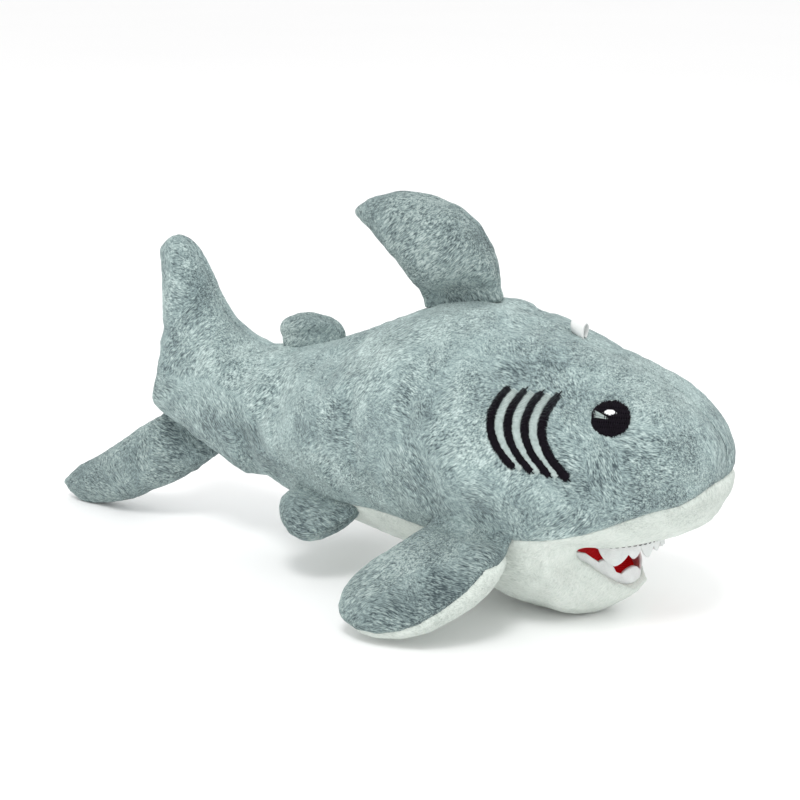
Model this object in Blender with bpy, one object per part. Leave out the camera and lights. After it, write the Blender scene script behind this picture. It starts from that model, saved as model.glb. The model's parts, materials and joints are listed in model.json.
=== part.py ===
"""Plush shark, 28 cm long: sewn panels over stuffing, with fins and a tail that flex at their seams.

Frame: the nose points to +X, the shark's left is +Y, +Z is up. The origin is the middle of the flat
patch under the chest that the toy lies on. Shapes are worked out in millimetres and stored in metres.
"""
import math

import bmesh
import bpy
from mathutils import Vector

MM = 0.001

# Driving dimensions, in millimetres.
FABRIC = 2.0          # plush cloth with its pile
LINING = 1.2          # flat red cloth on the mouth's floor
ROOF_LINING = 0.7     # the same cloth, stretched over the mouth's roof
FELT = 1.2            # white felt of the teeth
GAP = 0.3             # clearance between two pieces that touch
CORE_DEPTH = 2.7      # from the outer surface down to the stuffing
TAIL_X = -127.0       # upright axis that the tail sways about
THROAT_X = 5.0        # back wall of the mouth
NOSE_X = 53.4
KEEL = 0.16           # share by which the body narrows towards its underside
BELLY_START_X = -116.0
TAIL_SWAY = 19.0      # degrees of room on each side of the tail's axis
ROOT_LIFT = 2.6       # height of a side fin's root above the flank

# Body sections: x, underside, back, half width.
BODY = (
    (-127, 26, 77.5, 17), (-110, 21.5, 79, 22), (-85, 17, 86.5, 31), (-55, 13, 100, 39),
    (-28, 4, 107, 43), (-12, -1, 103.5, 42.5), (8, -1, 96.5, 39.5), (20, 6, 92.5, 36.5),
    (30, 19, 88.5, 32.5), (38, 32.5, 84.5, 28.5), (46, 39.5, 77.5, 21.5), (50.5, 46, 71, 14.5),
    (52.6, 50.5, 67, 9), (53.4, 55.3, 62.2, 3),
)
# Height of the lowest point that the surface may reach: the ground, then the roof of the mouth.
SNOUT_FLOOR = ((5, 29), (20, 29), (29, 30), (38, 32.5), (NOSE_X, 40))
# Height of the seam between the grey sides and the white underside.
SEAM = (
    (-127, 15), (-116, 20), (-100, 26), (-72, 30), (-42, 30), (-7, 34), (6, 35.5), (22, 40.5),
    (36, 46.5), (48, 51), (NOSE_X, 55.5),
)
# Lower jaw: x, height of the rim, half width at the rim, depth of the mouth's floor below it.
JAW = (
    (5, 33.5, 35, 16), (7, 30.5, 29, 14), (9, 28, 24.5, 12), (13, 23.5, 20, 9.5), (17, 19, 16, 7),
    (21, 15.5, 11.5, 4), (24.5, 13, 6.5, 1.5),
)
JAW_UNDERSIDE = ((5, -1), (10, -0.5), (14, 1.5), (18, 4), (22, 7), (24.5, 9))

JAW_ROWS = (6.5, 9, 12, 15, 18, 21, 24)

LIP_CENTRE_X = 9.0
UPPER_LIP = (25.5, 17.0)     # forward reach and half width of the mouth's upper edge
LOWER_LIP = (15.4, 16.5)
ROOF_Z = 30.8                # mouth's roof, just inside the upper lip
ROOF_ROWS = (7.5, 13, 19, 25, 30.5)
ROOF_INSET = 2.2             # from the upper lip to the edge of the roof lining
BACK_WALL_TOP = 28.4
FLOOR_ROWS = ((6.6, 1.0), (7.0, 0.5), (8.4, 0.0), (12, 0.0), (16, 0.0), (20.5, 0.0))  # x, share climbed
FLOOR_SHARE = 0.7            # width of the floor lining as a share of the jaw's
UPPER_TEETH_ROOT = 30.3
TOOTH_STEP = 1.2             # height of the felt strip between two teeth


def smooth_value(stations, x, column=1):
    """Read one column of a station table at x, with a Catmull-Rom curve between the stations."""
    last = len(stations) - 1
    if x <= stations[0][0]:
        return stations[0][column]
    if x >= stations[last][0]:
        return stations[last][column]
    i = max(k for k in range(last) if stations[k][0] <= x)

    def slope(k):
        before = stations[max(k - 1, 0)]
        after = stations[min(k + 1, last)]
        return (after[column] - before[column]) / (after[0] - before[0])

    width = stations[i + 1][0] - stations[i][0]
    t = (x - stations[i][0]) / width
    start = (1 + 2 * t) * (1 - t) ** 2 * stations[i][column]
    end = t * t * (3 - 2 * t) * stations[i + 1][column]
    return start + end + width * (t * (1 - t) ** 2 * slope(i) + t * t * (t - 1) * slope(i + 1))


def smooth_points(points, count):
    """Resample a list of points to count points along a Catmull-Rom curve."""
    tables = [[(k, p[axis]) for k, p in enumerate(points)] for axis in range(len(points[0]))]
    steps = [k * (len(points) - 1) / (count - 1) for k in range(count)]
    return [tuple(smooth_value(table, step) for table in tables) for step in steps]


def section(x):
    """Centre height, half height and half width of the body at x."""
    underside = smooth_value(BODY, x, 1)
    back = smooth_value(BODY, x, 2)
    return (underside + back) / 2, (back - underside) / 2, smooth_value(BODY, x, 3)


def half_width_at(x, angle):
    """Half width of the section at an angle; the lower half narrows towards the keel."""
    return section(x)[2] * math.sin(angle) * (1 + KEEL * min(0.0, math.cos(angle)))


def lip_half_width(x):
    """Half width of the upper lip at x."""
    reach = max(0.0, x - LIP_CENTRE_X) / UPPER_LIP[0]
    return UPPER_LIP[1] * math.sqrt(max(0.0, 1 - reach * reach))


def snout_floor(x, y):
    """Height of the snout's underside: flat inside the lip, then rising to the seam."""
    base = smooth_value(SNOUT_FLOOR, x)
    lip = lip_half_width(x)
    share = max(0.0, abs(y) - lip) / (abs(half_width_at(x, math.radians(seam_angle(x)))) - lip)
    return base + (smooth_value(SEAM, x) - base) * min(share, 1.0) ** 1.5


def body_point(x, angle, in_snout=None):
    """Point on the body: 0 degrees is the back, 90 the shark's right side, 180 the underside."""
    centre, half_height, _ = section(x)
    a = math.radians(angle)
    y = -half_width_at(x, a)
    in_snout = x > THROAT_X if in_snout is None else in_snout
    floor = snout_floor(x, y) if in_snout else 0.0
    return Vector((x, y, max(centre + half_height * math.cos(a), floor)))


def body_normal(x, angle):
    """Outward direction of the body's surface."""
    in_snout = x > THROAT_X
    along = body_point(x + 0.4, angle, in_snout) - body_point(x - 0.4, angle, in_snout)
    around = body_point(x, angle + 2, in_snout) - body_point(x, angle - 2, in_snout)
    return around.cross(along).normalized()


def body_inside(x, angle, depth):
    return body_point(x, angle) - body_normal(x, angle) * depth


def angle_at(x, z):
    """Angle at which the body's section at x has the height z."""
    centre, half_height, _ = section(x)
    return math.degrees(math.acos(max(-1.0, min(1.0, (z - centre) / half_height))))


def seam_angle(x):
    """Angle of the seam under the grey side panels."""
    if x < BELLY_START_X - 4:
        return 180.0
    return min(angle_at(x, smooth_value(SEAM, x)), 173.0)


def on_flank(x, z, side, height):
    """Point at a given height above the side of the body; side is -1 for the shark's right."""
    angle = angle_at(x, z)
    point = body_inside(x, angle, -height)
    return Vector((point.x, -side * point.y, point.z))


# Building meshes.

def add_piece(name, bm, colour, roughness, hinge=None):
    """Turn a bmesh in millimetres into a named object, hung on its hinge if it has one."""
    bmesh.ops.recalc_face_normals(bm, faces=bm.faces)
    origin = hinge.location if hinge else Vector((0, 0, 0))
    for vertex in bm.verts:
        vertex.co = vertex.co * MM - origin
    mesh = bpy.data.meshes.new(name)
    bm.to_mesh(mesh)
    bm.free()
    mesh.shade_smooth()
    mesh.set_sharp_from_angle(angle=math.radians(50))
    piece = bpy.data.objects.new(name, mesh)
    piece.parent = hinge
    bpy.context.scene.collection.objects.link(piece)
    material = bpy.data.materials.new(name)
    material.use_nodes = True
    shader = material.node_tree.nodes["Principled BSDF"]
    shader.inputs["Base Color"].default_value = (*colour, 1.0)
    shader.inputs["Roughness"].default_value = roughness
    shader.inputs["Metallic"].default_value = 0.0
    mesh.materials.append(material)
    return piece


def sheet(outer, inner):
    """Close two matching grids of points into one thin solid."""
    rows, columns = len(outer), len(outer[0])
    bm = bmesh.new()
    layers = [[[bm.verts.new(p) for p in row] for row in grid] for grid in (outer, inner)]
    for layer in layers:
        for i in range(rows - 1):
            for j in range(columns - 1):
                bm.faces.new((layer[i][j], layer[i][j + 1], layer[i + 1][j + 1], layer[i + 1][j]))
    rim = [(0, j) for j in range(columns - 1)]
    rim += [(i, columns - 1) for i in range(rows - 1)]
    rim += [(rows - 1, j) for j in range(columns - 1, 0, -1)]
    rim += [(i, 0) for i in range(rows - 1, 0, -1)]
    for (i, j), (m, n) in zip(rim, rim[1:] + rim[:1]):
        bm.faces.new((layers[0][i][j], layers[0][m][n], layers[1][m][n], layers[1][i][j]))
    return bm


def loft(rings):
    """Join closed rings of equal length into one solid with flat ends."""
    bm = bmesh.new()
    loops = [[bm.verts.new(p) for p in ring] for ring in rings]
    count = len(loops[0])
    for lower, upper in zip(loops, loops[1:]):
        for k in range(count):
            bm.faces.new((lower[k], lower[(k + 1) % count], upper[(k + 1) % count], upper[k]))
    bm.faces.new(loops[0])
    bm.faces.new(loops[-1])
    return bm


def hinge_at(name, point):
    """Empty that marks a seam which flexes."""
    hinge = bpy.data.objects.new(name, None)
    hinge.location = Vector(point) * MM
    bpy.context.scene.collection.objects.link(hinge)
    return hinge


GREY = (0.27, 0.36, 0.37)
WHITE = (0.80, 0.84, 0.81)
RED = (0.42, 0.01, 0.02)
BLACK = (0.012, 0.008, 0.014)
PALE = (0.45, 0.48, 0.48)
FILL = (0.90, 0.90, 0.88)


# Body.

TORSO_ROWS = (-126.7, -118, -108, -97, -85, -73, -61, -49, -37, -26, -16, -8, -1, 4.7)
SNOUT_ROWS = (5.3, 10, 16, 22, 28, 34, 39, 43.5, 47.5, 50.5, 52.4, 53.3)
RING_ANGLES = tuple(range(0, 360, 15))


def body_stuffing():
    rings = [[body_inside(x, a, CORE_DEPTH) for a in RING_ANGLES] for x in TORSO_ROWS]
    for ring, x in ((rings[0], TORSO_ROWS[0]), (rings[-1], TORSO_ROWS[-1])):
        for point in ring:
            point.x = x
    add_piece("body_stuffing", loft(rings), FILL, 0.95)


def snout_stuffing():
    rings = [[body_inside(x, a, CORE_DEPTH + GAP) for a in RING_ANGLES] for x in SNOUT_ROWS[:-2]]
    for point in rings[0]:
        point.x = SNOUT_ROWS[0]
    add_piece("snout_stuffing", loft(rings), FILL, 0.95)


def side_panels():
    """Two grey pieces from the tail's axis to the nose, sewn together along the back."""
    steps = 12
    for side, word in ((-1, "right"), (1, "left")):
        outer, inner = [], []
        for x in TORSO_ROWS + SNOUT_ROWS:
            angles = [seam_angle(x) * k / steps for k in range(steps + 1)]
            for grid, depth in ((outer, 0.0), (inner, FABRIC)):
                points = [body_inside(x, a, depth) for a in angles]
                grid.append([Vector((p.x, -side * p.y + side * GAP / 2, p.z)) for p in points])
        for grid in (outer, inner):
            for point in grid[0]:
                point.x = TORSO_ROWS[0]
        add_piece(f"side_panel_{word}", sheet(outer, inner), GREY, 0.9)


def jaw_point(x, angle, depth):
    """Point on the underside of the jaw; 90 degrees is the right rim and 270 the left rim."""
    rim = smooth_value(JAW, x, 1)
    half_width = smooth_value(JAW, x, 2) - depth
    drop = rim - smooth_value(JAW_UNDERSIDE, x) - depth
    a = math.radians(angle)
    return Vector((x, -half_width * math.sin(a), max(rim + drop * math.cos(a), depth)))


def jaw_floor(x, across):
    """Height of the mouth's floor; across runs from -1 at one rim to 1 at the other."""
    return smooth_value(JAW, x, 1) - smooth_value(JAW, x, 3) * (1 - across * across)


def belly_panel():
    """White piece under the belly, chest and chin."""
    steps = 12
    outer, inner = [], []
    for x in (BELLY_START_X,) + TORSO_ROWS[2:]:
        edge = seam_angle(x) + 1.0
        angles = [edge + (360 - 2 * edge) * k / steps for k in range(steps + 1)]
        outer.append([body_point(x, a) for a in angles])
        inner.append([body_inside(x, a, FABRIC) for a in angles])
    for x in JAW_ROWS:
        angles = [90 + 180 * k / steps for k in range(steps + 1)]
        outer.append([jaw_point(x, a, 0.0) for a in angles])
        inner.append([jaw_point(x, a, FABRIC) for a in angles])
    add_piece("belly_panel", sheet(outer, inner), WHITE, 0.85)


def jaw_stuffing():
    rings = []
    for x in JAW_ROWS[:-1]:
        half_width = smooth_value(JAW, x, 2) - CORE_DEPTH
        under = [jaw_point(x, 105 + 15 * k, CORE_DEPTH) for k in range(11)]
        across = [0.8 - 0.2 * k for k in range(9)]
        over = [Vector((x, s * half_width, jaw_floor(x, s) - LINING - 2 * GAP)) for s in across]
        rings.append(under + over)
    add_piece("jaw_stuffing", loft(rings), FILL, 0.95)


def snout_panel():
    """White horseshoe between the upper lip and the grey sides."""
    steps, across = 16, 4
    outer = []
    for i in range(steps + 1):
        phi = math.radians(-90 + 180 * i / steps)
        side = math.copysign(1, phi) if i != steps / 2 else 0
        seam_x = THROAT_X + 0.6 + (NOSE_X - THROAT_X - 1.2) * math.cos(phi) ** 0.8
        seam_y = half_width_at(seam_x, math.radians(seam_angle(seam_x))) * side
        lip_x = LIP_CENTRE_X + UPPER_LIP[0] * math.cos(phi)
        lip_y = UPPER_LIP[1] * math.sin(phi)
        row = []
        for j in range(across + 1):
            t = 0.95 * j / across
            x = lip_x + (seam_x - lip_x) * t
            y = lip_y + (seam_y - lip_y) * t
            row.append(Vector((x, y, underside_height(x, y))))
        outer.append(row)
    inner = offset_grid(outer, FABRIC, Vector((0, 0, 1)))
    add_piece("snout_panel", sheet(outer, inner), WHITE, 0.85)


def underside_height(x, y):
    """Height of the snout's underside above the point x, y."""
    low, high = math.radians(seam_angle(x)), math.pi
    for _ in range(30):
        middle = (low + high) / 2
        low, high = (middle, high) if half_width_at(x, middle) > abs(y) else (low, middle)
    centre, half_height, _ = section(x)
    return max(centre + half_height * math.cos(low), snout_floor(x, y))


def offset_grid(grid, distance, towards):
    """Copy a grid of points moved along its own normals, on the side that faces towards."""
    rows, columns = len(grid), len(grid[0])
    moved = []
    for i in range(rows):
        moved.append([])
        for j in range(columns):
            down = grid[min(i + 1, rows - 1)][j] - grid[max(i - 1, 0)][j]
            across = grid[i][min(j + 1, columns - 1)] - grid[i][max(j - 1, 0)]
            normal = down.cross(across).normalized()
            if normal.dot(towards) < 0:
                normal.negate()
            moved[i].append(grid[i][j] + normal * distance)
    return moved


# Mouth.

def mouth_lining():
    """Two red pieces: the roof, and the floor with the back wall."""
    roof = []
    for x in ROOF_ROWS:
        half_width = lip_half_width(x) - ROOF_INSET
        roof.append([Vector((x, half_width * k / 4, ROOF_Z)) for k in range(-4, 5)])
    top = [[point + Vector((0, 0, ROOF_LINING)) for point in row] for row in roof]
    add_piece("mouth_roof_lining", sheet(roof, top), RED, 0.8)
    floor = []
    for x, lift in FLOOR_ROWS:
        row = []
        for k in range(-4, 5):
            across = 0.8 * k / 4
            low = jaw_floor(x, across)
            y = across * (smooth_value(JAW, x, 2) - CORE_DEPTH) * FLOOR_SHARE
            row.append(Vector((x, y, low + (BACK_WALL_TOP - low) * lift)))
        floor.append(row)
    under = offset_grid(floor, LINING, Vector((-1, 0, -1)))
    add_piece("mouth_floor_lining", sheet(floor, under), RED, 0.8)


def teeth(name, reach, half_width, inset, root, height, count, spread):
    """Felt strip around a lip: root gives the strip's height at x, height is signed."""
    columns = 4 * count
    outer, inner = [], []
    for k in range(columns + 1):
        phi = math.radians(-spread + 2 * spread * k / columns)
        phase = (k / 4) % 1.0
        size = 1 - abs(2 * phase - 1) ** 1.5
        for grid, extra in ((outer, 0.0), (inner, FELT)):
            x = LIP_CENTRE_X + (reach - inset - extra) * math.cos(phi)
            y = (half_width - inset - extra) * math.sin(phi)
            base = root(x)
            step = math.copysign(TOOTH_STEP, height)
            tip = base + step + (height - step) * size
            grid.append([Vector((x, y, base)), Vector((x, y, (base + tip) / 2)), Vector((x, y, tip))])
    add_piece(name, sheet(outer, inner), (0.85, 0.87, 0.85), 0.95)


def mouth_teeth():
    teeth("upper_teeth", *UPPER_LIP, 1.3, lambda x: UPPER_TEETH_ROOT, -7.5, 8, 78)
    teeth("lower_teeth", *LOWER_LIP, -0.4, lambda x: smooth_value(JAW, x, 1) + 0.4, 4.6, 6, 62)


# Fins: a planform given by two rails, padded on both faces.

class Leaf:
    """A padded fin. Its rails are pairs of (p, q) points in a plane placed by origin and axes."""

    def __init__(self, front, back, thickness, origin, along, outward, rows=9, columns=6, edge=1.6):
        self.front = smooth_points(front, rows)
        self.back = smooth_points(back, rows)
        self.half = [t[0] for t in smooth_points([(t,) for t in thickness], rows)]
        self.origin = Vector(origin)
        self.along = Vector(along).normalized()
        self.outward = (Vector(outward) - self.along * Vector(outward).dot(self.along)).normalized()
        self.normal = self.along.cross(self.outward)
        self.columns = columns
        self.edge = edge

    def point(self, i, j):
        """Point of the planform in row i and column j."""
        t = (1 - math.cos(math.pi * j / self.columns)) / 2
        p = self.front[i][0] + (self.back[i][0] - self.front[i][0]) * t
        q = self.front[i][1] + (self.back[i][1] - self.front[i][1]) * t
        return self.origin + self.along * p + self.outward * q

    def height(self, i, j):
        """Distance from the planform to the outer surface."""
        bulge = math.sin(math.pi * j / self.columns) ** 0.8
        return self.edge + max(self.half[i] - self.edge, 0.0) * bulge

    def layer(self, side, reduce, least, rows, columns):
        return [[self.point(i, j) + self.normal * side * max(self.height(i, j) - reduce, least)
                 for j in columns] for i in rows]

    def panel(self, name, side, colour, hinge):
        rows, columns = range(len(self.front)), range(self.columns + 1)
        outer = self.layer(side, 0.0, 0.0, rows, columns)
        inner = self.layer(side, FABRIC, GAP / 2, rows, columns)
        self.shape(outer)
        self.shape(inner)
        add_piece(name, sheet(outer, inner), colour, 0.9, hinge)

    def stuffing(self, name, hinge, skip_start=1, skip_end=3):
        rows = range(skip_start, len(self.front) - skip_end)
        columns = range(1, self.columns)
        outer = self.layer(1, FABRIC + GAP, GAP, rows, columns)
        inner = self.layer(-1, FABRIC + GAP, GAP, rows, columns)
        self.shape(outer)
        self.shape(inner)
        add_piece(name, sheet(outer, inner), FILL, 0.95, hinge)

    def shape(self, grid):
        """Overridden where the leaf's root is cut to a special form."""


class TailLeaf(Leaf):
    """Tail whose front is cut to a wedge, so that it can sway about the upright axis."""

    def shape(self, grid):
        for point in (p for row in grid for p in row):
            room = -abs(point.y) * math.tan(math.radians(TAIL_SWAY)) - GAP
            fade = max(0.0, 1 - (TAIL_X - point.x) / 14)
            point.x += room * fade


def dorsal_fins():
    hinge = hinge_at("dorsal_fin_seam", (-45, 0, 106.4))
    fin = Leaf(
        front=((-29, 109.4), (-31, 117), (-34.5, 125), (-41, 132), (-52, 137), (-65, 139), (-76, 137),
               (-82, 134)),
        back=((-60, 103.6), (-63, 108), (-67, 113.5), (-72, 118), (-77, 122.5), (-82, 126.5),
              (-85.5, 129.5), (-86, 131)),
        thickness=(1.6, 8, 9.5, 9, 8, 6.5, 4.5, 2.5),
        origin=(0, 0, 0), along=(1, 0, 0), outward=(0, 0, 1))
    fin.panel("dorsal_fin_left", -1, GREY, hinge)
    fin.panel("dorsal_fin_right", 1, GREY, hinge)
    fin.stuffing("dorsal_fin_stuffing", hinge)
    small_hinge = hinge_at("second_dorsal_fin_seam", (-104.5, 0, 83.5))
    small = Leaf(
        front=((-92, 86.2), (-95, 89.5), (-101, 91.8), (-107, 92.6), (-111, 92.4)),
        back=((-117, 80.8), (-119, 83), (-119.5, 86), (-118, 89), (-115.5, 91)),
        thickness=(1.6, 5, 5, 4, 2.4),
        origin=(0, 0, 0), along=(1, 0, 0), outward=(0, 0, 1), rows=7)
    small.panel("second_dorsal_fin_left", -1, GREY, small_hinge)
    small.panel("second_dorsal_fin_right", 1, GREY, small_hinge)
    small.stuffing("second_dorsal_fin_stuffing", small_hinge)


def pectoral_fins():
    for side, word in ((-1, "right"), (1, "left")):
        origin = on_flank(-5, 34, side, ROOT_LIFT)
        hinge = hinge_at(f"pectoral_fin_seam_{word}", origin)
        fin = Leaf(
            front=((0, 0.3), (-2, 7), (-1.5, 16), (2, 25), (8, 33), (16, 39), (26, 42.5), (34.5, 43.2)),
            back=((30, 0.3), (32.5, 5), (36, 11), (40, 17), (43.5, 23), (45.5, 30), (45, 36.5),
                  (42, 41)),
            thickness=(1.6, 7, 8, 8, 7.5, 6.5, 4.5, 2.4),
            origin=origin, along=on_flank(-35, 36, side, ROOT_LIFT) - origin,
            outward=(0, side * 0.65, -0.76))
        top = 1 if fin.normal.z > 0 else -1
        fin.panel(f"pectoral_fin_top_{word}", top, GREY, hinge)
        fin.panel(f"pectoral_fin_underside_{word}", -top, WHITE, hinge)
        fin.stuffing(f"pectoral_fin_stuffing_{word}", hinge)


def pelvic_fins():
    for side, word in ((-1, "right"), (1, "left")):
        origin = on_flank(-72, 28, side, ROOT_LIFT)
        hinge = hinge_at(f"pelvic_fin_seam_{word}", origin)
        fin = Leaf(
            front=((0, 0.3), (2, 4.5), (5.5, 9.5), (10, 13.5), (15, 15.5)),
            back=((30, 0.3), (31.5, 4), (30, 8.5), (26.5, 12.5), (21.5, 15)),
            thickness=(1.6, 4.6, 4.6, 3.6, 2.2),
            origin=origin, along=on_flank(-102, 31.5, side, ROOT_LIFT) - origin,
            outward=(0, side * 0.75, -0.66),
            rows=7)
        top = 1 if fin.normal.z > 0 else -1
        fin.panel(f"pelvic_fin_top_{word}", top, GREY, hinge)
        fin.panel(f"pelvic_fin_underside_{word}", -top, GREY, hinge)
        fin.stuffing(f"pelvic_fin_stuffing_{word}", hinge)


# Tail.

def tail():
    hinge = hinge_at("tail_axis", (TAIL_X, 0, 52))
    upper = TailLeaf(
        front=((-127, 77.5), (-137, 81), (-144, 87.5), (-148.5, 94), (-152, 101), (-156.5, 108.5),
               (-161, 113), (-166, 115)),
        back=((-127, 26), (-145, 32), (-163, 40), (-178, 46), (-174.5, 58), (-170.5, 76),
              (-170.5, 96), (-173, 109)),
        thickness=(17, 15.5, 13, 11, 10, 8.5, 6.5, 3),
        origin=(0, 0, 0), along=(1, 0, 0), outward=(0, 0, 1), rows=12, columns=8)
    upper.panel("tail_panel_left", -1, GREY, hinge)
    upper.panel("tail_panel_right", 1, GREY, hinge)
    upper.stuffing("tail_stuffing", hinge, skip_start=0)
    lobe_hinge = hinge_at("lower_tail_lobe_seam", (-162.5, 0, 36.75))
    lower = Leaf(
        front=((-176, 43), (-186, 36.5), (-197, 29), (-209, 21), (-219, 14.5), (-227, 7)),
        back=((-149, 30.5), (-160, 22.5), (-172, 14), (-188, 6), (-205, 1.5), (-217, 0)),
        thickness=(1.6, 7, 8, 7.5, 5.5, 2.6),
        origin=(0, 0, 0), along=(1, 0, 0), outward=(0, 0, 1))
    lower.panel("lower_tail_lobe_left", -1, GREY, lobe_hinge)
    lower.panel("lower_tail_lobe_right", 1, GREY, lobe_hinge)
    lower.stuffing("lower_tail_lobe_stuffing", lobe_hinge)


# Embroidery and loop.

EYE_X, EYE_Z = 23.6, 77.0
EYE_RADIUS = 6.2
GILL_FIRST_X, GILL_PITCH, GILL_Z, GILL_HALF_HEIGHT = -13.2, 5.9, 72.4, 12.0
GILL_BULGE, GILL_LEAN = 5.9, 3.6


def patch_disc(name, side, x, z, size, lift, thickness, colour, turn=0.0):
    """Embroidered oval that lies on the flank; size is its half width and half height."""
    centre = on_flank(x, z, side, 0)
    normal = (on_flank(x, z, side, 1) - centre).normalized()
    across = Vector((0, 0, 1)).cross(normal).normalized()
    upward = normal.cross(across)
    rings = []
    for share, height in ((0.4, 0.0), (1.0, 0.0), (1.0, 0.45), (0.6, 1.0)):
        ring = []
        for k in range(16):
            angle = math.radians(22.5 * k)
            u = size[0] * share * math.cos(angle)
            v = size[1] * share * math.sin(angle)
            u, v = u * math.cos(turn) - v * math.sin(turn), u * math.sin(turn) + v * math.cos(turn)
            sag = (u * u + v * v) / 90
            ring.append(centre + across * u + upward * v + normal * (lift + thickness * height - sag))
        rings.append(ring)
    add_piece(name, loft(rings), colour, 0.5)


def eyes():
    for side, word in ((-1, "right"), (1, "left")):
        patch_disc(f"eye_{word}", side, EYE_X, EYE_Z, (EYE_RADIUS, EYE_RADIUS), 0.6, 1.2, BLACK)
        patch_disc(f"eye_highlight_{word}", side, EYE_X - 0.6, EYE_Z + 1.9, (2.0, 1.0), 2.2, 0.6, WHITE)
        patch_disc(f"eye_glint_{word}", side, EYE_X - 3.9, EYE_Z + 1.2, (1.6, 0.9), 2.0, 0.6, PALE)


def stitched_band(name, side, middle_x, width, colour):
    """Satin-stitched band: an upright arc on the flank, bulging towards the tail."""
    rows = 6
    outer, inner = [], []
    for i in range(rows + 1):
        s = -1 + 2 * i / rows
        x = middle_x + GILL_BULGE * s * s + GILL_LEAN * s
        z = GILL_Z - GILL_HALF_HEIGHT * s
        across = [x - width / 2 + width * k / 2 for k in range(3)]
        outer.append([on_flank(a, z, side, 1.1 + (0.4 if k == 1 else 0)) for k, a in enumerate(across)])
        inner.append([on_flank(a, z, side, 0.5) for a in across])
    add_piece(name, sheet(outer, inner), colour, 0.5)


def gills():
    for side, word in ((-1, "right"), (1, "left")):
        for k in range(4):
            x = GILL_FIRST_X + GILL_PITCH * k
            stitched_band(f"gill_slit_{word}_{k + 1}", side, x, 2.7, BLACK)
        for k in range(3):
            x = GILL_FIRST_X + GILL_PITCH * (k + 0.5)
            stitched_band(f"gill_fill_{word}_{k + 1}", side, x, 2.4, PALE)


def hang_loop():
    """Small white tape, folded in half over the back and sewn into the seam there."""
    thickness, half_width, reach, rise, centre_x, span = 0.6, 2.2, 2.3, 4.2, 0.0, 2.0
    front, rear = body_point(centre_x + span, 0), body_point(centre_x - span, 0)
    along = (front - rear).normalized()
    foot = (front.z + rear.z) / 2 + GAP + thickness / 2
    rings = []
    for k in range(13):
        turn = math.radians(15 * k)
        outward = Vector((0, math.cos(turn), math.sin(turn)))
        middle = Vector((centre_x, reach * math.cos(turn), foot + rise * math.sin(turn)))
        ring = []
        for m in range(8):
            around = math.radians(45 * m)
            across = along * half_width * math.sin(around)
            ring.append(middle + outward * thickness * math.cos(around) + across)
        rings.append(ring)
    add_piece("hang_loop", loft(rings), WHITE, 0.7)


def main():
    for item in list(bpy.data.objects):
        bpy.data.objects.remove(item, do_unlink=True)
    body_stuffing()
    snout_stuffing()
    jaw_stuffing()
    side_panels()
    belly_panel()
    snout_panel()
    mouth_lining()
    mouth_teeth()
    dorsal_fins()
    pectoral_fins()
    pelvic_fins()
    tail()
    eyes()
    gills()
    hang_loop()


main()
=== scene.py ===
"""Plush shark: cloth skins, embroidery, felt teeth and a red mouth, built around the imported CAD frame.

Skins are closed surfaces grown around the CAD panels and stuffing, puffed out by a cloth simulation, then
cut along the sewn seams. Lengths in the constants are in millimetres; MM turns them into metres.
"""
import json
import math
import random

import bmesh
import bpy
import numpy as np
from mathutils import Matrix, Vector, noise
from mathutils.bvhtree import BVHTree
from mathutils.kdtree import KDTree


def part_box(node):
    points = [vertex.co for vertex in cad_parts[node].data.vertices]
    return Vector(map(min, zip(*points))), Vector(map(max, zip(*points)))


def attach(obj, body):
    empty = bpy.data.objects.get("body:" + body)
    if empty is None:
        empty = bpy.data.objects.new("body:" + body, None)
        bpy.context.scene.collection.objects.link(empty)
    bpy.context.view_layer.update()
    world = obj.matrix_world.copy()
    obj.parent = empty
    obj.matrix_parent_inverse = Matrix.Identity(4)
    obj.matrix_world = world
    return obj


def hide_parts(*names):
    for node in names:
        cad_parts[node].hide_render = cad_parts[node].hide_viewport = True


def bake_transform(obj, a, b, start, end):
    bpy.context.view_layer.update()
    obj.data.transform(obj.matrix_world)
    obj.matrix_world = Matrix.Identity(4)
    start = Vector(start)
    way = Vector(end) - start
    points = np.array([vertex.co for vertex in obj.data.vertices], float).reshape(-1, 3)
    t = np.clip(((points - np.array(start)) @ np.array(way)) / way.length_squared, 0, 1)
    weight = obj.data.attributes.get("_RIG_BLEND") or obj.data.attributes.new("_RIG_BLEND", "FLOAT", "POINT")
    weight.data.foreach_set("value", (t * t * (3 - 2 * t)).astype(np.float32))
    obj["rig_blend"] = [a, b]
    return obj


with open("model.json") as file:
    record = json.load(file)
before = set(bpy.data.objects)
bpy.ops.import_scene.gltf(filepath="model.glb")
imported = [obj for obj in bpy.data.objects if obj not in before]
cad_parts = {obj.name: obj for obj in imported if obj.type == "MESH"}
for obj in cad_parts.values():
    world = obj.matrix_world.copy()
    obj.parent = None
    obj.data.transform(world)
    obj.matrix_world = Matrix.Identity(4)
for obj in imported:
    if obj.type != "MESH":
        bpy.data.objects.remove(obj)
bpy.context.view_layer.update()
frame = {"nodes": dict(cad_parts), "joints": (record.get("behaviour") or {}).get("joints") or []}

MM = 0.001
NODES = frame["nodes"]
JOINTS = {joint["child"]: joint for joint in frame["joints"]}

CAMERA_AZIMUTH, CAMERA_ELEVATION = 30.0, 16.0
CAMERA_TARGET = (-106.4, 65.1, 42.0)
CAMERA_DISTANCE = 682.5
CAMERA_LENS = 76.05

BODY_VOXEL = 1.5
FIN_VOXEL = 1.3
CLOTH_THICKNESS = 1.4
FLOOR_CLEARANCE = 0.3
SEAM_DEPTH, SEAM_WIDTH = 0.7, 1.1
SNAP = 0.12              # a vertex this near a seam is taken to lie on it

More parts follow.
